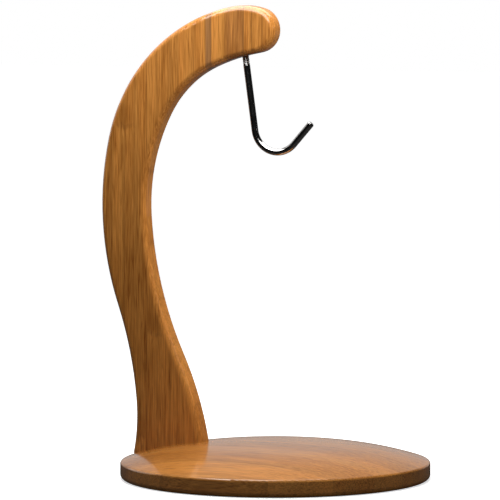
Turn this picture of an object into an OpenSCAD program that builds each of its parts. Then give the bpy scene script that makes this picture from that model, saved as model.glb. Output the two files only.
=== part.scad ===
// Hanger for a bunch of bananas.
// A round wooden base plate with a crowned top carries a flat board that is sawn to a question-mark curve.
// The board stands in a slot at the rim, arches over the plate, and holds a steel hook under its nose.
// Millimetres, +Z up. The origin is the centre of the plate's underside. The board lies in the XZ plane,
// with its foot at -X and its nose and hook towards +X.

/* [Base plate] */
// Diameter of the base plate
base_d = 178; // [165:1:200]
// Thickness at the rim, where the crown starts
rim_t = 9.8; // [9:0.1:13]
// Radius of the middle of the crown
crown_mid_r = 640; // [500:10:900]
// Radius of the crown's slope down to the rim
crown_slope_r = 200; // [180:5:260]
// Distance from the axis at which the crown starts to slope
crown_break = 40; // [30:1:50]
// Rounding of the rim's top edge
rim_top_r = 1.5; // [1:0.1:3]
// Rounding of the rim's bottom edge
rim_bottom_r = 3; // [1:0.1:4]

/* [Board] */
// Thickness of the board
board_t = 12.5; // [11:0.5:16]
// Round-over along both edges of the board
board_edge_r = 3.5; // [2:0.5:4]
// Depth of the board's slot at the rim
slot_depth = 0.8; // [0.5:0.1:2]
// Rounding of the foot's outer corner, above the rim
heel_corner_r = 4; // [2:0.5:5]

/* [Outline up the back] */
// How far outside the rim the outline starts, just below the foot
heel_over = 0.8; // [0.6:0.1:1]
// Heading of the outline where it starts, in degrees above level
heel_heading = 76.5; // [76:0.5:77]
// Radius of the flare at the heel
heel_r = 110; // [100:5:120]
// Turn of the flare at the heel, in degrees
heel_turn = 18.5; // [17.5:0.5:19]
// Radius of the long hollow above the heel
hollow_r = 220; // [210:5:230]
// Turn of the hollow
hollow_turn = 14.5; // [13.5:0.5:15.5]
// Radius of the bulge at the back
back_r = 175; // [170:5:180]
// Turn of the bulge
back_turn = 32.5; // [31.5:0.5:33.5]
// Radius of the crest
crest_r = 100; // [96:1:104]
// Turn of the crest
crest_turn = 66; // [64:0.5:67]

/* [Outline round the nose] */
// Radius of the fall from the crest to the nose
brow_r = 39; // [37:1:41]
// Turn of the fall
brow_turn = 27; // [26:0.5:28]
// Radius of the nose
nose_r = 13; // [12:0.5:14]
// Turn of the nose
nose_turn = 148; // [146:0.5:149]
// Radius of the chin behind the nose
chin_r = 28; // [24:1:32]
// Turn of the chin
chin_turn = 6; // [5:0.5:7]

/* [Outline down the inside] */
// Radius of the arm's underside in front
throat_r = 115; // [110:5:120]
// Turn of the underside in front
throat_turn = 14; // [13:0.5:15]
// How the inner bow is shared: the reach of its upper arc over that of its lower arc
bow_share = 0.68; // [0.6:0.01:0.8]
// Radius of the long inner side
shin_r = 215; // [210:5:220]
// Turn of the long inner side
shin_turn = 22; // [21:0.5:23]
// Radius of the toe
toe_r = 195; // [190:5:200]
// Turn of the toe
toe_turn = 19; // [18:0.5:20]
// Steepness of the inner edge at the foot, in degrees
foot_steep = 83.5; // [82:0.5:85]
// Length of the foot
foot_l = 47.6; // [44:0.2:52]
// How far the outline runs on below the slot's floor
outline_low = 2; // [1:0.5:4]

/* [Hook] */
// Diameter of the hook's rod
rod_d = 3.9; // [3.5:0.1:4.5]
// Distance from the chin back to the hook's shank, where it leaves the wood
hook_back = 8; // [6:0.5:14]
// Lean of the shank, in degrees
hook_lean = 8; // [5:0.5:10]
// Depth of the hook's hole above the wood's underside
hook_hole = 19; // [14:0.5:22]
// Length of the shank from the wood to the bend
shank_l = 43; // [38:0.5:48]
// Centreline radius of the bend
bend_r = 14; // [12:0.5:16]
// Turn of the bend
bend_turn = 130; // [110:1:150]
// Length of the straight end
tip_l = 16.5; // [12:0.5:20]
// Chamfer of the rod's end
tip_chamfer = 0.5; // [0.3:0.1:0.8]
// Diameter of the rod at the root of its thread
hook_root_d = 3; // [2.7:0.1:3.2]
// Pitch of the hook's thread
hook_pitch = 1.5; // [1.2:0.1:2]
// Length of the thread that shows below the wood
thread_show = 5.5; // [3:0.5:8]

/* [Foot screws] */
// Diameter of a screw over its thread
screw_d = 4.2; // [3.5:0.1:4.5]
// Diameter of a screw at the root of its thread
screw_root_d = 2.9; // [2.4:0.1:3.2]
// Pitch of a screw's thread
screw_pitch = 1.8; // [1.5:0.1:2.1]
// Length of a screw's point
screw_point_l = 5; // [4:0.5:6]
// Diameter of a screw's head
screw_head_d = 8; // [7:0.1:9]
// Depth of the head below the underside
head_sink = 0.5; // [0.3:0.1:1.5]
// Width across the cross recess at the face of the head
recess_d = 5; // [4:0.5:6]
// Depth of the cross recess
recess_h = 2.4; // [2:0.1:3]
// Width of a slot of the cross recess
recess_w = 1; // [0.8:0.1:1.2]
// Length of a screw
screw_l = 36; // [30:1:40]
// Distance from the foot's outer end to the first screw
screw_from_heel = 14.3; // [13:0.1:17]
// Distance from the foot's inner end to the second screw
screw_from_toe = 13.3; // [12:0.1:16]

/* [Hidden] */
$fn = 96;
base_r = base_d / 2;
seat_z = rim_t - slot_depth;
bamboo = [0.72, 0.47, 0.22];
bamboo_base = [0.68, 0.43, 0.20];
steel = [0.75, 0.75, 0.77];

// The crown is two tangent arcs turned about the axis
slope_start = asin(crown_break / crown_mid_r);
slope_x = crown_break - crown_slope_r * sin(slope_start);
slope_z = rim_t - sqrt(crown_slope_r ^ 2 - (base_r - slope_x) ^ 2);
mid_z = slope_z + (crown_slope_r - crown_mid_r) * cos(slope_start);
crown_top = mid_z + crown_mid_r;
function crown_z(r) = r < crown_break
    ? mid_z + sqrt(crown_mid_r ^ 2 - r ^ 2)
    : slope_z + sqrt(crown_slope_r ^ 2 - (r - slope_x) ^ 2);

// The outline is a chain of tangent arcs, each [radius, turn]. It runs up the back, over the nose and down
// the inside, with the wood on its right. A left turn is a hollow and a right turn is a bulge.
// A place on it is [x, z, heading].
function arc_centre(s, a) = let (left = sign(a[1]))
    [s[0] - left * a[0] * sin(s[2]), s[1] + left * a[0] * cos(s[2])];
function place_on_arc(c, a, h) = let (left = sign(a[1]))
    [c[0] + left * a[0] * sin(h), c[1] - left * a[0] * cos(h), h];
function after_arc(s, a) = place_on_arc(arc_centre(s, a), a, s[2] + a[1]);
function before_arc(s, a) = place_on_arc(arc_centre(s, a), a, s[2] - a[1]);
function places(s, chain, i = 0) = i == len(chain) ? [s]
    : concat([s], places(after_arc(s, chain[i]), chain, i + 1));

// Up the back, over the nose and along the arm's underside, from the foot's outer end
back_arcs = [
    [heel_r, heel_turn], [hollow_r, hollow_turn], [back_r, -back_turn], [crest_r, -crest_turn],
    [brow_r, -brow_turn], [nose_r, -nose_turn], [chin_r, -chin_turn], [throat_r, throat_turn]
];
back_stops = places([-(base_r + heel_over), seat_z - outline_low, heel_heading], back_arcs);
bow_start = back_stops[len(back_arcs)];

// The long inner side and the toe, found from the foot's inner end upwards
foot_end = [back_stops[0][0] + foot_l, seat_z - outline_low, -foot_steep];
toe_start = before_arc(foot_end, [toe_r, -toe_turn]);
shin_start = before_arc(toe_start, [shin_r, shin_turn]);

// The inner bow joins the two with a pair of arcs, each tangent to its neighbours. Their tangents meet at
// two corners, bow_low from the lower end and bow_share of that from the upper one.
bow_in = [cos(bow_start[2]), sin(bow_start[2])];
bow_out = [cos(shin_start[2]), sin(shin_start[2])];
bow_span = [shin_start[0] - bow_start[0], shin_start[1] - bow_start[1]];
bow_a = 2 * bow_share * (bow_in * bow_out - 1);
bow_b = bow_share * (bow_span * bow_in) + bow_span * bow_out;
bow_low = (bow_b - sqrt(bow_b ^ 2 - bow_a * (bow_span * bow_span))) / bow_a;
bow_high = bow_share * bow_low;
bow_corners = bow_span - bow_low * bow_out - bow_high * bow_in;
bow_heading = atan2(bow_corners[1], bow_corners[0]);
bow_turn = bow_heading - bow_start[2];
belly_turn = shin_start[2] - bow_heading;
bow_arc = [bow_high / tan(bow_turn / 2), bow_turn];
belly_arc = [bow_low / tan(belly_turn / 2), belly_turn];

arcs = concat(back_arcs, [bow_arc, belly_arc, [shin_r, shin_turn], [toe_r, -toe_turn]]);
stops = concat(back_stops, [after_arc(bow_start, bow_arc), shin_start, toe_start, foot_end]);

// Stretches that meet end to end grow into one solid by a slimmer piece that reaches into both
join_step = 0.01;
join_reach = 0.3;
// Gap that such a piece bridges in the board's rounded edge, and how far that edge reaches into the board
join_gap = 0.2;
edge_overlap = 3;

// The same arc moved into the wood by inset, its centre kept
function inset_r(a, inset) = a[0] + sign(a[1]) * inset;
function inset_place(i, inset) = let (s = stops[i])
    [s[0] + inset * sin(s[2]), s[1] - inset * cos(s[2])];

// The area between an arc and its chord, held by a quadrilateral on the chord
module arc_segment(i, inset) {
    c = arc_centre(stops[i], arcs[i]);
    r = inset_r(arcs[i], inset);
    p = inset_place(i, inset);
    q = inset_place(i + 1, inset);
    out = (p + q) / 2 - c;
    reach = (r - norm(out) + 1) * out / norm(out);
    intersection() {
        translate(c) circle(r);
        polygon([p, q, q + reach, p + reach]);
    }
}

// The outline, moved into the wood by inset
module board_outline(inset) {
    difference() {
        union() {
            polygon([for (i = [0 : len(arcs)]) inset_place(i, inset)]);
            for (i = [0 : len(arcs) - 1]) if (arcs[i][1] < 0) arc_segment(i, inset);
        }
        for (i = [0 : len(arcs) - 1]) if (arcs[i][1] > 0) arc_segment(i, inset);
    }
}

// Section of the board's rounded edge, slimmer all round by slim. The edge is at x = 0, the wood at -x.
module edge_section(slim = 0) {
    half_t = board_t / 2 - slim;
    intersection() {
        union() {
            for (side = [-1, 1])
                translate([-board_edge_r - slim, side * (half_t - board_edge_r)]) circle(board_edge_r);
            translate([-board_edge_r - slim, board_edge_r - half_t])
                square([board_edge_r, 2 * (half_t - board_edge_r)]);
            translate([-board_edge_r - edge_overlap, -half_t]) square([edge_overlap - slim, 2 * half_t]);
        }
        translate([-board_edge_r - edge_overlap, -board_t])
            square([board_edge_r + edge_overlap, 2 * board_t]);
    }
}

// The rounded edge along one arc, turned about the arc's centre
module edge_strip(i) {
    bulge = arcs[i][1] < 0;
    trim = join_gap / 2 / arcs[i][0] * 180 / PI;
    first = bulge ? stops[i][2] + 90 + arcs[i][1] : stops[i][2] - 90;
    translate(arc_centre(stops[i], arcs[i]))
        rotate_extrude(start = first + trim, angle = abs(arcs[i][1]) - 2 * trim)
            translate([arcs[i][0], 0]) {
                if (bulge) edge_section();
                else mirror([1, 0]) edge_section();
            }
}

// The slimmer piece that joins two strips where their arcs meet
module edge_joint(i) {
    translate([stops[i][0], stops[i][1], 0]) rotate([90, 0, stops[i][2] + 90])
        linear_extrude(2 * join_reach, center = true) edge_section(join_step);
}

// The foot's outer corner is eased where it meets the rim
module heel_corner() {
    translate([-base_r - 2, seat_z - 1, -board_t]) linear_extrude(2 * board_t)
        difference() {
            square([heel_corner_r + 2, heel_corner_r + 1]);
            translate([heel_corner_r + 2, heel_corner_r + 1]) circle(heel_corner_r);
        }
}

module board() {
    rotate([90, 0, 0]) difference() {
        union() {
            linear_extrude(board_t, center = true) board_outline(board_edge_r + edge_overlap / 2);
            for (i = [0 : len(arcs) - 1]) edge_strip(i);
            for (i = [1 : len(arcs) - 1]) edge_joint(i);
        }
        translate([-base_d, seat_z - base_d, -board_t]) cube([2 * base_d, base_d, 2 * board_t]);
        heel_corner();
    }
}

// Where the hook's shank leaves the wood: on the outline's throat arc, which starts at the chin
throat_c = arc_centre(stops[7], arcs[7]);
hook_x = stops[7][0] - hook_back;
hook_z = throat_c[1] + sqrt(throat_r ^ 2 - (hook_x - throat_c[0]) ^ 2);
module at_hook() {
    translate([hook_x, 0, hook_z]) rotate([0, -hook_lean, 0]) children();
}

// Places of the two screws
module at_screws() {
    translate([stops[0][0] + screw_from_heel, 0, 0]) children();
    translate([foot_end[0] - screw_from_toe, 0, 0]) children();
}
head_h = (screw_head_d - screw_d) / 2;

module upright_arm() {
    color(bamboo) difference() {
        board();
        at_hook() translate([0, 0, -2 * rod_d]) cylinder(d = rod_d, h = hook_hole + 2 * rod_d);
        at_screws() cylinder(d = screw_d, h = head_sink + screw_l + 1);
    }
}

module base_profile() {
    edge_x = base_r - rim_top_r;
    edge_z = slope_z + sqrt((crown_slope_r - rim_top_r) ^ 2 - (edge_x - slope_x) ^ 2);
    lean = atan2(edge_z - slope_z, edge_x - slope_x);
    touch = [edge_x + rim_top_r * cos(lean), edge_z + rim_top_r * sin(lean)];
    difference() {
        union() {
            intersection() {
                translate([0, mid_z]) circle(crown_mid_r);
                square([crown_break, crown_top + 1]);
            }
            intersection() {
                translate([slope_x, slope_z]) circle(crown_slope_r);
                translate([crown_break, 0]) square([base_r - crown_break, crown_top + 1]);
            }
        }
        difference() {
            polygon([
                [edge_x, edge_z], [base_r + 1, edge_z],
                [base_r + 1, touch[1] + 2], touch + [cos(lean), sin(lean)]
            ]);
            translate([edge_x, edge_z]) circle(rim_top_r);
        }
        difference() {
            translate([base_r - rim_bottom_r, -1]) square([rim_bottom_r + 1, rim_bottom_r + 1]);
            translate([base_r - rim_bottom_r, rim_bottom_r]) circle(rim_bottom_r);
        }
    }
}

module base_plate() {
    color(bamboo_base) difference() {
        rotate_extrude() base_profile();
        board();
        // the slot runs out through the rim, past the foot's eased corner
        translate([-base_r - 1, -board_t / 2, seat_z]) cube([2 * heel_corner_r + 1, board_t, crown_top]);
        at_screws() {
            translate([0, 0, -1]) cylinder(d = screw_d, h = seat_z + 2);
            translate([0, 0, -1]) cylinder(d = screw_head_d, h = head_sink + 1);
            translate([0, 0, head_sink]) cylinder(d1 = screw_head_d, d2 = screw_d, h = head_h);
        }
    }
}

// Screw thread as a row of ridges, from z = 0 up
module thread(d, root_d, pitch, turns) {
    rotate_extrude() for (k = [0 : turns - 1])
        translate([0, k * pitch]) polygon([
            [0, 0], [root_d / 2, 0], [d / 2, 0.4 * pitch],
            [d / 2, 0.6 * pitch], [root_d / 2, pitch], [0, pitch]
        ]);
}

module hook() {
    turns = floor((hook_hole - 1 + thread_show) / hook_pitch);
    color(steel) at_hook() {
        translate([0, 0, -thread_show]) thread(rod_d, hook_root_d, hook_pitch, turns);
        translate([0, 0, -shank_l]) cylinder(d = rod_d, h = shank_l - thread_show);
        translate([bend_r, 0, -shank_l]) rotate([90, 0, 0]) {
            rotate(180) rotate_extrude(angle = bend_turn) translate([bend_r, 0]) circle(d = rod_d);
            rotate(180 + bend_turn) translate([bend_r, 0, 0]) rotate([-90, 0, 0]) {
                end_d = rod_d - 2 * join_step;
                translate([0, 0, -join_reach])
                    cylinder(d = end_d, h = tip_l - tip_chamfer + join_reach);
                translate([0, 0, tip_l - tip_chamfer])
                    cylinder(d1 = end_d, d2 = end_d - 2 * tip_chamfer, h = tip_chamfer);
            }
        }
    }
}

// A countersunk wood screw, its head down
module foot_screw() {
    turns = floor(0.6 * screw_l / screw_pitch);
    thread_z = screw_l - screw_point_l - turns * screw_pitch;
    translate([0, 0, head_sink]) difference() {
        union() {
            cylinder(d1 = screw_head_d, d2 = screw_d, h = head_h);
            cylinder(d = screw_d, h = thread_z);
            translate([0, 0, thread_z]) thread(screw_d, screw_root_d, screw_pitch, turns);
            translate([0, 0, screw_l - screw_point_l])
                cylinder(d1 = screw_root_d, d2 = 0.4, h = screw_point_l);
        }
        // cross recess
        intersection() {
            translate([0, 0, -1]) cylinder(d1 = recess_d + 2, d2 = recess_w, h = recess_h + 1);
            for (a = [0, 90])
                rotate(a) translate([-recess_d, -recess_w / 2, -1])
                    cube([2 * recess_d, recess_w, recess_h + 1]);
        }
    }
}

module foot_screws() {
    color(steel) at_screws() foot_screw();
}

base_plate();
upright_arm();
hook();
foot_screws();
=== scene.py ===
"""Banana hanger: bamboo board and base plate with a polished steel hook.

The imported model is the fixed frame. This script gives its nodes their materials, makes the hook and its thread
as one swept surface, and sets up the floor, the lamps and the camera. All lengths are in metres, +Z is up, and
the origin is the centre of the base plate's underside."""
import math

import bpy
import numpy as np
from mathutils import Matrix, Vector


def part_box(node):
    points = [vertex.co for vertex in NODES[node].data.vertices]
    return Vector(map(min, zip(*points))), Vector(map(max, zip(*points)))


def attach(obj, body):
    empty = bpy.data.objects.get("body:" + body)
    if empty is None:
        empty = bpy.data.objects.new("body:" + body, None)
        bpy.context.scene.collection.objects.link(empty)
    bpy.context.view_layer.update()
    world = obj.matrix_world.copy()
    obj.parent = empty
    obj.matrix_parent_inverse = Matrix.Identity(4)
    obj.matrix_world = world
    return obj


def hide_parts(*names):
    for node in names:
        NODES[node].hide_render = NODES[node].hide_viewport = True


bl_info = {
    "name": "Banana hanger",
    "version": (1, 0, 0),
    "blender": (4, 5, 0),
    "location": "3D View > Sidebar > Hanger",
    "description": "Bamboo and steel finishes, hook and stage for a banana hanger",
    "category": "Add Mesh",
}

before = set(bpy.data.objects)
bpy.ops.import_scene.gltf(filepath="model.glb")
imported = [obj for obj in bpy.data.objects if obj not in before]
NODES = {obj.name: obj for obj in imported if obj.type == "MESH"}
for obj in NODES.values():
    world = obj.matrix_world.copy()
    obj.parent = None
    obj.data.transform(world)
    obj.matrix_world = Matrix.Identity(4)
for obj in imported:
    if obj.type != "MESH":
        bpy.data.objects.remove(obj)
X, Y, Z = 0, 1, 2

# Joints between the board's strips, in metres along X, with how strong each glue line is, and the tone of the
# strip before each joint and of the last strip. Tones run from 0, dark, to 1, pale.
BOARD_JOINTS = (-0.1015, -0.0935, -0.0872, -0.0790, -0.0722, -0.0640, -0.0590, -0.0490, -0.0415, -0.0383,
                -0.0288, -0.0175, -0.0121, -0.0054)
BOARD_GLUE = (0.3, 0.35, 0.2, 0.35, 0.25, 0.3, 0.2, 0.4, 0.3, 0.3, 1.0, 0.45, 0.6, 0.5)
BOARD_TONES = (0.47, 0.60, 0.46, 0.52, 0.58, 0.58, 0.66, 0.76, 0.60, 0.20, 0.76, 0.30, 0.56, 0.60, 0.55)
# The same for the base plate's strips, along Y
BASE_JOINTS = (-0.0828, -0.0618, -0.0405, -0.0195, 0.0012, 0.0222, 0.0435, 0.0640, 0.0850)
BASE_GLUE = (0.35, 0.55, 0.3, 0.5, 0.3, 0.4, 0.3, 0.4, 0.3)
BASE_TONES = (0.50, 0.66, 0.44, 0.60, 0.40, 0.56, 0.46, 0.62, 0.48, 0.55)
# The range that holds all joints, and half the width of a glue line and of the shade beside it
STRIPS_FROM, STRIPS_TO = -0.12, 0.12
GLUE_HALF, SHADE_HALF = 0.0005, 0.0022
# Places of the culm's nodes on the board: X, Z and half the width of the strip that carries them
BOARD_NODES = ((-0.0935, 0.2010, 0.0075), (-0.0745, 0.0802, 0.0060), (-0.0835, 0.0205, 0.0045),
               (-0.0655, 0.1690, 0.0050), (-0.0235, 0.2380, 0.0045))

# Layers of noise in the bamboo's figure. Each has its scale along the fibres as a share of the scale across
# them, the scale across them per metre, its detail and its roughness.
FIBRE = (0.035, 1700.0, 2.0, 0.6)
STREAK = (0.042, 1000.0, 3.0, 0.65)
BAND = (0.05, 190.0, 2.0, 0.5)
HAIR = (0.06, 200.0, 2.0, 0.6)
RAGGED = (0.03, 700.0, 1.0, 0.5)
FLECK = (0.10, 750.0, 1.0, 0.5)
PALE_FLECK = (0.05, 1150.0, 1.0, 0.5)
WARM = (0.03, 150.0, 1.0, 0.5)
STIR = (0.12, 260.0, 2.0, 0.6)
NODE_FLECK = (0.12, 1000.0, 1.0, 0.5)
# Noise that isn't drawn out: its scale, detail and roughness
SPECK = (1350.0, 2.0, 0.6)
CLOUD = (42.0, 2.0, 0.5)
# How fast the slow wave of the fibres changes along and across them, and how far it moves them
WAVE_ALONG, WAVE_ACROSS, WAVE_REACH = 9.0, 25.0, 0.0016
CLOUD_ALONG = 0.3
# How far the pattern moves along a strip for its tone, so that no two strips match
TONE_SHIFT = 3.7
# The values of a layer between which a fleck comes up
FLECK_SPAN, PALE_SPAN, NODE_FLECK_SPAN = (0.61, 0.70), (0.64, 0.76), (0.5, 0.66)
# A dark hair runs where its layer passes this value, and half its width in that value
HAIR_AT, HAIR_HALF = 0.52, 0.030
# Lines are broken up between these values of their layer, down to the lower share
RAGGED_SPAN, RAGGED_SHARES = (0.35, 0.6), (0.45, 1.0)
# The figure runs from dark, 0, to light, 1. Its middle, and how strongly each layer moves it from there.
MIDDLE = 0.56
FIBRE_WEIGHT, STREAK_WEIGHT, BAND_WEIGHT, CLOUD_WEIGHT, TONE_WEIGHT = 1.4, 1.1, 0.35, 0.5, 0.85
FLECK_WEIGHT, PALE_WEIGHT, HAIR_WEIGHT, SPECK_WEIGHT = -0.20, 0.12, -0.24, 1.5
# Tones between which a strip turns grey, and the most that it does
GREY_SPAN, GREY_SHARE = (0.36, 0.2), 0.55
# The warm tint of broad streaks, the values of their layer in which it comes up, and its share
WARM_TINT, WARM_SPAN, WARM_SHARE = (1.06, 0.90, 0.74), (0.35, 0.65), 0.35
# The share of the shade beside a joint, and how much weaker joints are on end grain
SHADE_SHARE, END_GRAIN_FADE = 0.4, -0.85
# A node of the culm: how far noise stirs its level, then for its dark patch, its ring and its pale flecks how far
# above the level each lies, half its height, and its share
NODE_STIR = 0.012
DARK_UP, DARK_HALF, DARK_SHARE = 0.0055, 0.0100, 0.38
RING_UP, RING_HALF, RING_SHARE = 0.0, 0.0022, 0.22
PALE_UP, PALE_HALF, PALE_SHARE = -0.0040, 0.0075, 0.6
# The ring is a little wider than the patches, and stands out by a share of the bump
RING_WIDER, RING_RISE = 1.1, 0.4
# The bump's full depth, and its strength in the wood and in the lacquer over it
BUMP_DEPTH, WOOD_BUMP, COAT_BUMP = 0.00012, 0.35, 0.12
WOOD_ROUGH, WOOD_SPECULAR, WOOD_IOR, LACQUER_IOR = 0.40, 0.2, 1.5, 1.6

# Noise on the steel: its scale, detail and roughness
POLISH_LINES, SMEAR = (2600.0, 2.0, 0.5), (160.0, 2.0, 0.5)
ZINC_GRAIN, ZINC_PATCH = (1500.0, 2.0, 0.5), (350.0, 2.0, 0.5)
POLISH_ALONG, STEEL_BUMP_DEPTH, POLISH_BUMP, ZINC_BUMP = 0.04, 0.00005, 0.05, 0.1

# The hook's rings: their spacing in the thread and along the rod, the bevelled tip, and the points in a ring
THREAD_STEP, ROD_STEP = 0.0001, 0.0005
TIP, TIP_RINGS, TIP_BEVEL = 0.0006, 7, 0.0005
ROD_SIDES = 48
# The thread's flank: its slope against half a pitch, and what is cut off to leave a flat ridge
FLANK_SLOPE, FLANK_FLAT = 2.6, 0.15

FLOOR_HALF, FLOOR_LEVEL = 6.0, -0.0001
# The floor's glow to the camera near the object, which rises to white between the two distances from it
FLOOR_GLOW, GLOW_NEAR, GLOW_FAR = 0.66, 0.10, 0.35
# The floor's glow to polished surfaces in front of the object and, from the given distance, behind it
FLOOR_FRONT, FLOOR_BACK, BACK_AT = 0.0, 0.12, 0.9
# The floor's paint to the camera, in polished surfaces and to other light
FLOOR_PALE, FLOOR_GLINT, FLOOR_GREY = 0.8, 0.03, 0.13
# The way to the white panel behind the object
PANEL_WAY = (-0.42, 0.91)
# The panel in polished surfaces: from where on it begins and is full, and its level outside and inside
PANEL_FROM, PANEL_TO, PANEL_OUTSIDE, PANEL_INSIDE = 0.62, 0.97, 0.01, 0.41
# The panel fades to a share of its level between these two heights of the sky
FADE_FROM, FADE_TO, FADE_SHARE = 0.15, 0.8, 0.5
# The softbox on the left in polished surfaces: the way to it, from where on it begins and is full, and its level
SIDE_WAY, SIDE_FROM, SIDE_TO, SIDE_LEVEL = (-0.93, 0.15, 0.34), 0.91, 0.95, 0.9
# The world's light on all surfaces
WORLD_FILL = 0.02
# Name, place, the point it faces, width, height, power in watts, spread in degrees, and whether it is mirrored
LAMPS = (
    ("front", (-0.02, -0.15, 0.45), (0.03, 0.0, 0.29), 0.42, 0.22, 1.58, 180.0, True),
    ("overhead", (-0.05, 0.13, 0.56), (-0.03, 0.03, 0.2), 0.52, 0.38, 2.35, 180.0, True),
    ("ceiling", (0.0, 0.0, 1.0), (0.0, 0.0, 0.1), 0.4, 0.4, 2.2, 180.0, False),
    ("right", (0.75, 0.05, 0.40), (-0.06, 0.0, 0.25), 0.3, 0.2, 0.30, 40.0, False),
)
CAMERA_SENSOR, CAMERA_REACH = 36.0, 30.0


class Graph:
    """A node tree of a material or world, with short calls to add and join nodes."""

    def __init__(self, owner):
        self.owner = owner
        owner.use_nodes = True
        self.tree = owner.node_tree
        self.tree.nodes.clear()

    def put(self, socket, value):
        """Sets a socket to a value, or links another socket to it."""
        if isinstance(value, bpy.types.NodeSocket):
            self.tree.links.new(value, socket)
        elif socket.type == "RGBA":
            socket.default_value = (*value[:3], 1.0)
        else:
            socket.default_value = value

    def node(self, kind, inputs=None, **settings):
        """Adds a node; settings are its own properties, inputs its sockets by name."""
        n = self.tree.nodes.new(kind)
        for key, value in settings.items():
            setattr(n, key, value)
        for key, value in (inputs or {}).items():
            self.put(n.inputs[key], value)
        return n

    def math(self, operation, a, b=0.0):
        """One step of arithmetic on numbers."""
        return self.node("ShaderNodeMath", {0: a, 1: b}, operation=operation).outputs[0]

    def add(self, *terms):
        """The sum of numbers, each of them a socket, a value, or a pair that is multiplied."""
        total = None
        for term in terms:
            term = self.math("MULTIPLY", *term) if isinstance(term, tuple) else term
            total = term if total is None else self.math("ADD", total, term)
        return total

    def times(self, *factors):
        """The product of numbers."""
        total = factors[0]
        for factor in factors[1:]:
            total = self.math("MULTIPLY", total, factor)
        return total

    def mix(self, factor, a, b, blend="MIX"):
        """Mixes two colours."""
        n = self.node("ShaderNodeMix", data_type="RGBA", blend_type=blend, clamp_factor=True)
        for socket, value in zip((n.inputs[0], n.inputs[6], n.inputs[7]), (factor, a, b)):
            self.put(socket, value)
        return n.outputs[2]

    def span(self, value, low, high, to_low=0.0, to_high=1.0, smooth=False):
        """Maps value from low..high to to_low..to_high, held at both ends."""
        n = self.node("ShaderNodeMapRange", clamp=True, interpolation_type="SMOOTHSTEP" if smooth else "LINEAR")
        for socket, v in zip(n.inputs, (value, low, high, to_low, to_high)):
            self.put(socket, v)
        return n.outputs[0]

    def combine(self, x, y, z):
        """A vector of three numbers."""
        return self.node("ShaderNodeCombineXYZ", {0: x, 1: y, 2: z}).outputs[0]

    def axes(self, vector):
        """The three numbers of a vector."""
        return tuple(self.node("ShaderNodeSeparateXYZ", {0: vector}).outputs)

    def noise(self, vector, scale, detail, roughness):
        """Smooth noise from 0 to 1, about 1 / scale metres from crest to crest."""
        return self.node("ShaderNodeTexNoise", {
            "Vector": vector, "Scale": scale, "Detail": detail, "Roughness": roughness}).outputs["Fac"]

    def steps(self, value, low, high, edges, levels):
        """A number that jumps from level to level at the edges, which lie between low and high."""
        ramp = self.node("ShaderNodeValToRGB", {0: self.span(value, low, high)})
        stops = ramp.color_ramp
        stops.interpolation = "CONSTANT"
        stops.elements[0].position = 0.0
        stops.elements[1].position = (edges[0] - low) / (high - low)
        for edge in edges[1:]:
            stops.elements.new((edge - low) / (high - low))
        for element, level in zip(stops.elements, levels):
            element.color = (level, level, level, 1.0)
        return ramp.outputs[0]

    def lines(self, value, edges, strengths, half_width):
        """Each edge's strength on it, down to 0 at half_width from it."""
        total = None
        for edge, strength in zip(edges, strengths):
            gap = self.math("ABSOLUTE", self.math("SUBTRACT", value, edge))
            line = self.span(gap, 0.0, half_width, strength, 0.0)
            total = line if total is None else self.math("MAXIMUM", total, line)
        return total

    def spot(self, at, centre, reach):
        """A soft patch: 1 at its centre, 0 beyond its reach, each given by axis."""
        total = None
        for value, middle, half in zip(at, centre, reach):
            part = self.math("POWER", self.math("DIVIDE", self.math("SUBTRACT", value, middle), half), 2.0)
            total = part if total is None else self.math("ADD", total, part)
        return self.span(total, 0.0, 1.0, 1.0, 0.0, smooth=True)

    def bump(self, strength, distance, height):
        """A normal that is tilted by a height."""
        return self.node("ShaderNodeBump", {
            "Strength": strength, "Distance": distance, "Height": height}).outputs[0]

    def mirrored(self, path):
        """1 for what polished and clear surfaces show, from a Light Path node."""
        return self.math("MAXIMUM", path.outputs["Is Glossy Ray"], path.outputs["Is Transmission Ray"])

    def finish(self, surface):
        """Joins a shader to the output and returns the material or world."""
        kind = "ShaderNodeOutputWorld" if isinstance(self.owner, bpy.types.World) else "ShaderNodeOutputMaterial"
        self.put(self.node(kind).inputs["Surface"], surface)
        return self.owner


def new_material(name):
    """An empty node material."""
    return Graph(bpy.data.materials.new(name))


def give(obj, material):
    """Puts one material on a whole object."""
    obj.data.materials.clear()
    obj.data.materials.append(material)


class BambooSettings(bpy.types.PropertyGroup):
    """Colours and finish of the bamboo"""
    light: bpy.props.FloatVectorProperty(
        name="Light fibre", description="Colour of the palest fibres",
        subtype="COLOR", size=3, min=0, max=1, default=(0.68, 0.286, 0.060))
    dark: bpy.props.FloatVectorProperty(
        name="Dark fibre", description="Colour of the darkest fibres",
        subtype="COLOR", size=3, min=0, max=1, default=(0.25, 0.080, 0.0095))
    glue: bpy.props.FloatVectorProperty(
        name="Glue line", description="Colour of the joints between strips",
        subtype="COLOR", size=3, min=0, max=1, default=(0.13, 0.05, 0.012))
    grey: bpy.props.FloatVectorProperty(
        name="Grey strip", description="Colour that the greyest strips lean to",
        subtype="COLOR", size=3, min=0, max=1, default=(0.30, 0.165, 0.075))
    gloss: bpy.props.FloatProperty(
        name="Lacquer", description="Strength of the lacquer's own reflection",
        subtype="FACTOR", min=0, max=1, default=1.0)
    coat_rough: bpy.props.FloatProperty(
        name="Lacquer roughness", description="Roughness of the lacquer",
        subtype="FACTOR", min=0, max=1, default=0.12)


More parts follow.
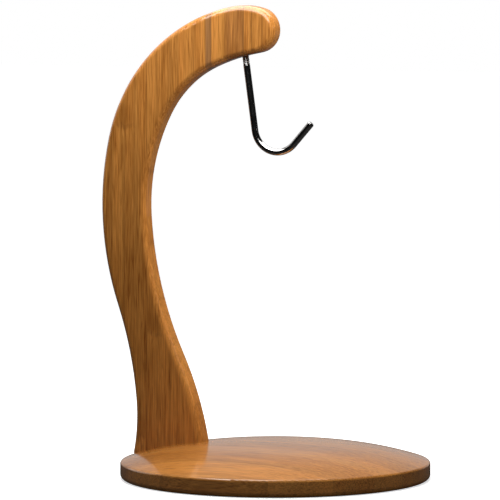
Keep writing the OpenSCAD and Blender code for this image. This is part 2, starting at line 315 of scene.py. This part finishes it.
class SteelSettings(bpy.types.PropertyGroup):
    """Colours of the steel"""
    dark: bpy.props.FloatVectorProperty(
        name="Polished, dark", description="Darker colour of the hook's steel",
        subtype="COLOR", size=3, min=0, max=1, default=(0.50, 0.49, 0.48))
    light: bpy.props.FloatVectorProperty(
        name="Polished, light", description="Lighter colour of the hook's steel",
        subtype="COLOR", size=3, min=0, max=1, default=(0.60, 0.59, 0.58))
    zinc_blue: bpy.props.FloatVectorProperty(
        name="Zinc, bluish", description="Bluish patches of the screws' plating",
        subtype="COLOR", size=3, min=0, max=1, default=(0.50, 0.52, 0.55))
    zinc_yellow: bpy.props.FloatVectorProperty(
        name="Zinc, yellowish", description="Yellowish patches of the screws' plating",
        subtype="COLOR", size=3, min=0, max=1, default=(0.66, 0.65, 0.60))


class HookSettings(bpy.types.PropertyGroup):
    """Sizes of the hook"""
    rod: bpy.props.FloatProperty(
        name="Rod", description="Diameter of the hook's rod", subtype="DISTANCE", unit="LENGTH", default=0.0039)
    root: bpy.props.FloatProperty(
        name="Thread root", description="Diameter at the root of the thread",
        subtype="DISTANCE", unit="LENGTH", default=0.0034)
    pitch: bpy.props.FloatProperty(
        name="Pitch", description="Pitch of the thread", subtype="DISTANCE", unit="LENGTH", default=0.0010)
    thread: bpy.props.FloatProperty(
        name="Thread below the wood", description="Length of the thread that shows",
        subtype="DISTANCE", unit="LENGTH", default=0.0055)
    bend: bpy.props.FloatProperty(
        name="Bend", description="Centreline radius of the bend", subtype="DISTANCE", unit="LENGTH", default=0.014)
    turn: bpy.props.FloatProperty(
        name="Turn", description="Turn of the bend", subtype="ANGLE", default=math.radians(130))
    lean: bpy.props.FloatProperty(
        name="Lean", description="Lean of the shank", subtype="ANGLE", default=math.radians(8))
    shank: bpy.props.FloatProperty(
        name="Shank", description="Length of the shank below the wood",
        subtype="DISTANCE", unit="LENGTH", default=0.043)
    hole: bpy.props.FloatProperty(
        name="Hole", description="Length of the shank inside the wood",
        subtype="DISTANCE", unit="LENGTH", default=0.018)
    end: bpy.props.FloatProperty(
        name="End", description="Length of the straight end", subtype="DISTANCE", unit="LENGTH", default=0.0165)


class StageSettings(bpy.types.PropertyGroup):
    """The camera's place and lens"""
    azimuth: bpy.props.FloatProperty(
        name="Azimuth", description="Camera's turn about the upright axis",
        subtype="ANGLE", default=math.radians(25))
    elevation: bpy.props.FloatProperty(
        name="Elevation", description="Camera's height above level", subtype="ANGLE", default=math.radians(4.4))
    distance: bpy.props.FloatProperty(
        name="Distance", description="Camera's distance from the point it looks at",
        subtype="DISTANCE", unit="LENGTH", default=2.5)
    aim: bpy.props.FloatVectorProperty(
        name="Aim", description="The point the camera looks at",
        subtype="TRANSLATION", unit="LENGTH", size=3, default=(-0.01595, -0.00014, 0.13066))
    lens: bpy.props.FloatProperty(
        name="Lens", description="Focal length in millimetres on a 36 mm frame", default=314.06)


def scaled(g, at, along, by_along, by_across):
    """The place, with its number along the fibres and the two across them scaled apart."""
    return g.combine(*[g.times(v, by_along if i == along else by_across) for i, v in enumerate(at)])


def drawn_noise(g, at, along, across, tone):
    """Returns a call that makes one layer of noise, drawn out along the fibres.

    All layers bend with one slow wave, and each strip's pattern is moved along by its tone."""
    wave = g.noise(scaled(g, at, along, WAVE_ALONG, WAVE_ACROSS), 1.0, 1.0, 0.5)
    shift = g.times(tone, TONE_SHIFT)

    def drawn(layer):
        stretch, scale, detail, roughness = layer
        place = list(at)
        place[across] = g.add(place[across], (wave, WAVE_REACH))
        place[along] = g.add((place[along], stretch), shift)
        return g.noise(g.combine(*place), scale, detail, roughness)

    return drawn


def mark_nodes(g, colour, settings, at, drawn, nodes):
    """Adds the culm's nodes, where the fibres bunch up: dark above, a thin ring, and short pale flecks below.
    Returns the new colour and the rings' height."""
    rings = 0.0
    if nodes:
        # the level is stirred by noise, so that no mark has a straight edge
        level = g.add(at[Z], (g.add(drawn(STIR), -0.5), NODE_STIR))
        place = (at[X], level)
    for x, z, half in nodes:
        dark = g.spot(place, (x, z + DARK_UP), (half, DARK_HALF))
        ring = g.spot(place, (x, z + RING_UP), (half * RING_WIDER, RING_HALF))
        pale = g.spot(place, (x, z + PALE_UP), (half, PALE_HALF))
        pale = g.times(pale, g.span(drawn(NODE_FLECK), *NODE_FLECK_SPAN))
        colour = g.mix(g.times(dark, DARK_SHARE), colour, settings.dark)
        colour = g.mix(g.times(ring, RING_SHARE), colour, settings.glue)
        colour = g.mix(g.times(pale, PALE_SHARE), colour, settings.light)
        rings = g.add(rings, (ring, RING_RISE))
    return colour, rings


def bamboo(name, settings, along, across, joints, glue, tones, nodes):
    """Bamboo strips glued edge to edge.

    along and across are the axis that the fibres follow and the one that the strips lie side by side on. The
    fibres are noise that is drawn out along the first; where the surface cuts across them, specks of end grain
    take over."""
    g = new_material(name)
    place = g.node("ShaderNodeTexCoord")
    at = g.axes(place.outputs["Object"])
    # how squarely the surface cuts the fibres: 0 along them, 1 across them
    cut = g.math("ABSOLUTE", g.axes(place.outputs["Normal"])[along])
    lengthwise = g.add(1.0, (cut, END_GRAIN_FADE))
    tone = g.steps(at[across], STRIPS_FROM, STRIPS_TO, joints, tones)
    drawn = drawn_noise(g, at, along, across, tone)

    def centred(value):
        return g.add(value, -0.5)

    fibre, streak = drawn(FIBRE), drawn(STREAK)
    ragged = g.span(drawn(RAGGED), *RAGGED_SPAN, *RAGGED_SHARES)
    # thin dark lines where a slow noise passes one level, broken up by a finer one
    line = g.math("ABSOLUTE", g.add(drawn(HAIR), -HAIR_AT))
    hair = g.times(g.span(line, 0.0, HAIR_HALF, 1.0, 0.0), ragged)
    fleck = g.span(drawn(FLECK), *FLECK_SPAN)
    pale_fleck = g.span(drawn(PALE_FLECK), *PALE_SPAN)
    cloud = g.noise(scaled(g, at, along, CLOUD_ALONG, 1.0), *CLOUD)
    speck = g.noise(place.outputs["Object"], *SPECK)
    figure = g.add(
        MIDDLE, (centred(fibre), FIBRE_WEIGHT), (centred(streak), STREAK_WEIGHT),
        (centred(drawn(BAND)), BAND_WEIGHT), (centred(cloud), CLOUD_WEIGHT), (centred(tone), TONE_WEIGHT),
        (fleck, FLECK_WEIGHT), (pale_fleck, PALE_WEIGHT), (hair, HAIR_WEIGHT),
        (g.times(cut, centred(speck)), SPECK_WEIGHT))

    colour = g.mix(figure, settings.dark, settings.light)
    # strips with a low tone lean to grey, and broad streaks are warmer
    colour = g.mix(g.span(tone, *GREY_SPAN, 0.0, GREY_SHARE), colour, settings.grey)
    warm = g.span(drawn(WARM), *WARM_SPAN)
    colour = g.mix(g.times(warm, WARM_SHARE), colour, g.mix(1.0, colour, WARM_TINT, "MULTIPLY"))
    # the joints: a soft shade beside each, and a thin broken glue line on it
    shade = g.lines(at[across], joints, glue, SHADE_HALF)
    joint = g.lines(at[across], joints, glue, GLUE_HALF)
    colour = g.mix(g.times(shade, lengthwise, SHADE_SHARE), colour, settings.dark)
    colour = g.mix(g.times(joint, ragged, lengthwise), colour, settings.glue)
    colour, rings = mark_nodes(g, colour, settings, at, drawn, nodes)

    # dark streaks are smoother, end grain and joints are rougher; flecks and joints lie low
    rough = g.add(WOOD_ROUGH, (centred(streak), 0.35), (cut, 0.10), (joint, 0.12))
    height = g.add((fibre, 0.5), (streak, 0.35), (fleck, -0.4), (joint, -0.8), rings, (g.times(cut, speck), 0.5))
    shader = g.node("ShaderNodeBsdfPrincipled", {
        "Base Color": colour, "Roughness": rough, "IOR": WOOD_IOR, "Specular IOR Level": WOOD_SPECULAR,
        "Coat Weight": settings.gloss, "Coat Roughness": settings.coat_rough, "Coat IOR": LACQUER_IOR,
        "Normal": g.bump(WOOD_BUMP, BUMP_DEPTH, height), "Coat Normal": g.bump(COAT_BUMP, BUMP_DEPTH, height)})
    return g.finish(shader.outputs[0])


def polished_steel(settings):
    """Drawn and polished rod: fine lines along it, and smears from handling."""
    g = new_material("polished_steel")
    place = g.node("ShaderNodeTexCoord").outputs["Object"]
    lines = g.noise(scaled(g, g.axes(place), Z, POLISH_ALONG, 1.0), *POLISH_LINES)
    smear = g.noise(place, *SMEAR)
    shader = g.node("ShaderNodeBsdfPrincipled", {
        "Base Color": g.mix(g.span(smear, 0.35, 0.7), settings.dark, settings.light), "Metallic": 1.0,
        "Roughness": g.add(0.10, (lines, 0.06), (g.span(smear, 0.45, 0.75), 0.08)),
        "Normal": g.bump(POLISH_BUMP, STEEL_BUMP_DEPTH, lines)})
    return g.finish(shader.outputs[0])


def zinc_steel(settings):
    """Zinc plating: dull grey with bluish and yellowish patches."""
    g = new_material("zinc_steel")
    place = g.node("ShaderNodeTexCoord").outputs["Object"]
    grain = g.noise(place, *ZINC_GRAIN)
    patch = g.noise(place, *ZINC_PATCH)
    shader = g.node("ShaderNodeBsdfPrincipled", {
        "Base Color": g.mix(g.span(patch, 0.35, 0.65), settings.zinc_blue, settings.zinc_yellow),
        "Metallic": 1.0, "Roughness": g.span(grain, 0.3, 0.7, 0.25, 0.42),
        "Normal": g.bump(ZINC_BUMP, STEEL_BUMP_DEPTH, grain)})
    return g.finish(shader.outputs[0])


def floor_paint():
    """White to the camera, with the object's shadow on it, and grey to other light."""
    g = new_material("floor_paint")
    path = g.node("ShaderNodeLightPath")
    x, y, z = g.axes(g.node("ShaderNodeTexCoord").outputs["Object"])
    camera_ray, mirrored = path.outputs["Is Camera Ray"], g.mirrored(path)
    behind = g.span(g.add((x, PANEL_WAY[X]), (y, PANEL_WAY[Y])), 0.0, BACK_AT, FLOOR_FRONT, FLOOR_BACK)
    reach = g.math("SQRT", g.add((x, x), (y, y)))
    white = g.span(reach, GLOW_NEAR, GLOW_FAR, FLOOR_GLOW, 1.0, smooth=True)
    glow = g.add((camera_ray, white), (mirrored, behind))
    paint = g.add((mirrored, FLOOR_GLINT - FLOOR_GREY), (camera_ray, FLOOR_PALE - FLOOR_GREY), FLOOR_GREY)
    diffuse = g.node("ShaderNodeBsdfDiffuse", {"Color": g.combine(paint, paint, paint)})
    light = g.node("ShaderNodeEmission", {"Strength": glow})
    return g.finish(g.node("ShaderNodeAddShader", {0: diffuse.outputs[0], 1: light.outputs[0]}).outputs[0])


def studio_world():
    """White to the camera; to polished surfaces a white panel behind, a softbox on the left and dark in front."""
    g = Graph(bpy.data.worlds.new("studio"))
    path = g.node("ShaderNodeLightPath")
    x, y, z = g.axes(g.node("ShaderNodeTexCoord").outputs["Generated"])
    facing = g.add((x, PANEL_WAY[X]), (y, PANEL_WAY[Y]))
    panel = g.span(facing, PANEL_FROM, PANEL_TO, PANEL_OUTSIDE, PANEL_INSIDE, smooth=True)
    fade = g.span(z, FADE_FROM, FADE_TO, 1.0, FADE_SHARE)
    aside = g.add((x, SIDE_WAY[X]), (y, SIDE_WAY[Y]), (z, SIDE_WAY[Z]))
    side = g.span(aside, SIDE_FROM, SIDE_TO, 0.0, SIDE_LEVEL, smooth=True)
    level = g.add(path.outputs["Is Camera Ray"], (g.mirrored(path), g.add(side, g.times(panel, fade))),
                  (path.outputs["Is Diffuse Ray"], WORLD_FILL))
    back = g.node("ShaderNodeBackground", {"Color": (1.0, 1.0, 1.0), "Strength": level})
    return g.finish(back.outputs[0])


def tube(centres, across, side, radii):
    """A closed tube: point (ring, turn) lies at centre + radius * (cos(turn) * across + sin(turn) * side), with
    one centre, across and side for each ring and one radius for each point. Each end ring is closed by a fan
    about its centre. Returns its points and faces."""
    rings, sides = radii.shape
    turn = np.linspace(0, 2 * np.pi, sides, endpoint=False)
    points = (centres[:, None, :] + radii[..., None] * (
        np.cos(turn)[None, :, None] * across[:, None, :] + np.sin(turn)[None, :, None] * side[:, None, :]))
    verts = np.concatenate([points.reshape(-1, 3), centres[:1], centres[-1:]])
    i, j = np.meshgrid(np.arange(rings - 1), np.arange(sides), indexing="ij")
    k = (j + 1) % sides
    quads = np.stack([i * sides + j, i * sides + k, (i + 1) * sides + k, (i + 1) * sides + j], -1).reshape(-1, 4)
    j = np.arange(sides)
    k = (j + 1) % sides
    last = (rings - 1) * sides
    head = np.stack([k, j, np.full(sides, rings * sides)], -1)
    tail = np.stack([last + j, last + k, np.full(sides, rings * sides + 1)], -1)
    return verts, quads.tolist() + head.tolist() + tail.tolist()


def hook_frame(s, along):
    """The rod's centreline and the unit vector across it, for each distance along it.

    In the hook's own plane it runs straight down for the hole and the shank, then round an arc, whose angle is
    the distance past the shank over the bend's radius, and then straight on. All of it is turned by the lean."""
    down = s.hole + s.shank
    arc = s.bend * s.turn
    straight = np.minimum(along, down)
    angle = np.clip((along - down) / s.bend, 0, s.turn)
    rest = np.maximum(along - down - arc, 0)
    out = s.bend * (1 - np.cos(angle)) + rest * np.sin(s.turn)
    up = s.hole - straight - s.bend * np.sin(angle) - rest * np.cos(s.turn)
    cos, sin = math.cos(s.lean), math.sin(s.lean)

    def leaned(u, w):
        return u * cos - w * sin, u * sin + w * cos

    x, z = leaned(out, up)
    ahead_x, ahead_z = leaned(np.sin(angle), -np.cos(angle))
    zero = np.zeros_like(x)
    return np.stack([x, zero, z], -1), np.stack([-ahead_z, zero, ahead_x], -1)


def hook_radii(s, along, thread_to, total):
    """The rod's radius at each distance along it and each turn round it.

    The thread is one helix: its phase is the distance over the pitch plus the turn's share of a circle, and the
    radius falls from the rod's to the root's as the phase leaves the ridge. It fades out over one pitch, and
    the tip is bevelled."""
    turn = np.arange(ROD_SIDES) / ROD_SIDES
    phase = (along[:, None] / s.pitch + turn[None, :]) % 1.0
    flank = np.clip(FLANK_SLOPE * np.abs(phase - 0.5) - FLANK_FLAT, 0, 1)
    fade = np.clip((thread_to - along) / s.pitch, 0, 1)[:, None]
    bevel = np.clip(along - (total - TIP_BEVEL), 0, TIP_BEVEL)[:, None]
    return s.rod / 2 - fade * (s.rod - s.root) / 2 * flank - bevel


def hook_rod(s):
    """The hook as one closed tube, moved so that its tip's side and the foot of its bend touch the same planes
    as the node that it replaces. Returns its points and faces."""
    thread_to = s.hole + s.thread
    total = s.hole + s.shank + s.bend * s.turn + s.end
    along = np.concatenate([
        np.arange(0, thread_to, THREAD_STEP), np.arange(thread_to, total - TIP, ROD_STEP),
        np.linspace(total - TIP, total, TIP_RINGS)])
    centres, across = hook_frame(s, along)
    side = np.tile([0.0, 1.0, 0.0], (len(along), 1))
    verts, faces = tube(centres, across, side, hook_radii(s, along, thread_to, total))
    low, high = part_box("hook")
    verts[:, X] += high.x - verts[:, X].max()
    verts[:, Z] += low.z - verts[:, Z].min()
    return verts, faces


def new_object(scene, name, verts, faces):
    """A mesh object at the origin, with its place in its mesh."""
    mesh = bpy.data.meshes.new(name)
    mesh.from_pydata(verts, [], faces)
    mesh.update()
    obj = bpy.data.objects.new(name, mesh)
    scene.collection.objects.link(obj)
    return obj


class HANGER_OT_base(bpy.types.Operator):
    """Gives the base plate its bamboo strips, with end grain round the rim"""
    bl_idname = "hanger.base"
    bl_label = "Finish base plate"

    def execute(self, context):
        give(NODES["base_plate"], bamboo(
            "bamboo_base", context.scene.hanger_bamboo, X, Y, BASE_JOINTS, BASE_GLUE, BASE_TONES, ()))
        return {"FINISHED"}


class HANGER_OT_board(bpy.types.Operator):
    """Gives the board its upright bamboo strips"""
    bl_idname = "hanger.board"
    bl_label = "Finish board"

    def execute(self, context):
        give(NODES["upright_arm"], bamboo(
            "bamboo_board", context.scene.hanger_bamboo, Z, X, BOARD_JOINTS, BOARD_GLUE, BOARD_TONES, BOARD_NODES))
        return {"FINISHED"}


class HANGER_OT_hook(bpy.types.Operator):
    """Makes the hook as one rod: thread, shank, bend and straight end"""
    bl_idname = "hanger.hook"
    bl_label = "Make hook"

    def execute(self, context):
        verts, faces = hook_rod(context.scene.hanger_hook)
        obj = new_object(context.scene, "hook_rod", verts.tolist(), faces)
        obj.data.shade_smooth()
        give(obj, polished_steel(context.scene.hanger_steel))
        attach(obj, "root")
        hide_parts("hook")
        return {"FINISHED"}


class HANGER_OT_screws(bpy.types.Operator):
    """Gives the foot screws their zinc-plated steel"""
    bl_idname = "hanger.screws"
    bl_label = "Finish foot screws"

    def execute(self, context):
        give(NODES["foot_screws"], zinc_steel(context.scene.hanger_steel))
        return {"FINISHED"}


class HANGER_OT_stage(bpy.types.Operator):
    """Makes the floor, the world, the lamps and the camera"""
    bl_idname = "hanger.stage"
    bl_label = "Make stage"

    def execute(self, context):
        scene = context.scene
        scene.view_settings.view_transform = "Standard"
        scene.world = studio_world()
        self.make_floor(scene)
        for settings in LAMPS:
            self.make_lamp(scene, *settings)
        self.make_camera(scene, scene.hanger_stage)
        return {"FINISHED"}

    def make_floor(self, scene):
        """One flat square, a hair below the object's underside so that the two faces don't share a plane."""
        corners = [(x * FLOOR_HALF, y * FLOOR_HALF, FLOOR_LEVEL) for x, y in ((-1, -1), (1, -1), (1, 1), (-1, 1))]
        floor = new_object(scene, "floor", corners, [(0, 1, 2, 3)])
        give(floor, floor_paint())

    def make_lamp(self, scene, name, at, aim, width, height, power, spread, mirrored):
        """One rectangular lamp that faces a point."""
        data = bpy.data.lights.new(name, "AREA")
        data.shape = "RECTANGLE"
        data.size, data.size_y, data.energy, data.spread = width, height, power, math.radians(spread)
        obj = bpy.data.objects.new(name, data)
        scene.collection.objects.link(obj)
        obj.visible_glossy = mirrored
        obj.visible_camera = False
        obj.location = at
        obj.rotation_euler = (Vector(aim) - Vector(at)).to_track_quat("-Z", "Y").to_euler()

    def make_camera(self, scene, s):
        """A camera at the settings' azimuth, elevation and distance from the point it looks at."""
        camera = bpy.data.objects.new("camera", bpy.data.cameras.new("camera"))
        scene.collection.objects.link(camera)
        away = Vector((math.sin(s.azimuth) * math.cos(s.elevation), -math.cos(s.azimuth) * math.cos(s.elevation),
                       math.sin(s.elevation)))
        camera.location = Vector(s.aim) + s.distance * away
        camera.rotation_euler = (-away).to_track_quat("-Z", "Y").to_euler()
        camera.data.sensor_width = CAMERA_SENSOR
        camera.data.lens = s.lens
        camera.data.clip_end = CAMERA_REACH
        scene.camera = camera


class HANGER_PT_panel(bpy.types.Panel):
    """Lists the hanger's settings and steps in the sidebar"""
    bl_idname = "HANGER_PT_panel"
    bl_label = "Banana hanger"
    bl_space_type = "VIEW_3D"
    bl_region_type = "UI"
    bl_category = "Hanger"

    def draw(self, context):
        scene = context.scene
        for settings in (scene.hanger_bamboo, scene.hanger_steel, scene.hanger_hook, scene.hanger_stage):
            box = self.layout.box()
            for name in settings.bl_rna.properties.keys():
                if name not in ("rna_type", "name"):
                    box.prop(settings, name)
        for step in STEPS:
            self.layout.operator(step.bl_idname)


STEPS = (HANGER_OT_base, HANGER_OT_board, HANGER_OT_hook, HANGER_OT_screws, HANGER_OT_stage)
CLASSES = (BambooSettings, SteelSettings, HookSettings, StageSettings, *STEPS, HANGER_PT_panel)


def register():
    for c in CLASSES:
        bpy.utils.register_class(c)
    bpy.types.Scene.hanger_bamboo = bpy.props.PointerProperty(type=BambooSettings)
    bpy.types.Scene.hanger_steel = bpy.props.PointerProperty(type=SteelSettings)
    bpy.types.Scene.hanger_hook = bpy.props.PointerProperty(type=HookSettings)
    bpy.types.Scene.hanger_stage = bpy.props.PointerProperty(type=StageSettings)


def unregister():
    scene = bpy.types.Scene
    del scene.hanger_stage, scene.hanger_hook, scene.hanger_steel, scene.hanger_bamboo
    for c in reversed(CLASSES):
        bpy.utils.unregister_class(c)


def main():
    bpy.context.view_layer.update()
    register()
    bpy.ops.hanger.stage()
    bpy.ops.hanger.base()
    bpy.ops.hanger.board()
    bpy.ops.hanger.hook()
    bpy.ops.hanger.screws()


if __name__ == "__main__":
    main()
